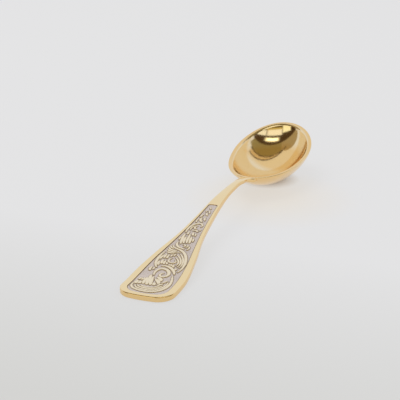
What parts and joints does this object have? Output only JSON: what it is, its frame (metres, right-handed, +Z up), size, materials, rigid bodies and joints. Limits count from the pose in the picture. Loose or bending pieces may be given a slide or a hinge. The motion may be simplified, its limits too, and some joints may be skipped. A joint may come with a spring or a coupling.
{
  "type": "souvenir spoon",
  "caption": "Gold-plated souvenir teaspoon with an egg-shaped bowl, a slim arched neck and a broad flat handle end that carries raised gilt scrollwork on a grey field.",
  "frame": {"origin": "middle of the spoon's footprint, on the surface it lies on", "axes": "+Y from the handle's broad end to the bowl's tip, +X across the spoon, +Z up out of the bowl"},
  "size_m": [0.0292, 0.14, 0.0163],
  "materials": {
    "gold_plate": "polished gold plate over brass",
    "nickel_field": "matt grey nickel, darkened at its edge",
    "gilt_relief": "satin gilt"
  },
  "bodies": {
    "root": {"spoon_body": "gold_plate", "field_plate": "nickel_field", "end_crescent": "gilt_relief", "end_leaves": "gilt_relief", "end_volute": "gilt_relief", "middle_scroll": "gilt_relief", "middle_leaves": "gilt_relief", "neck_leaves": "gilt_relief", "neck_curl": "gilt_relief", "spray_leaves": "gilt_relief", "upper_scroll": "gilt_relief", "tip_sprig": "gilt_relief"}
  },
  "joints": []
}
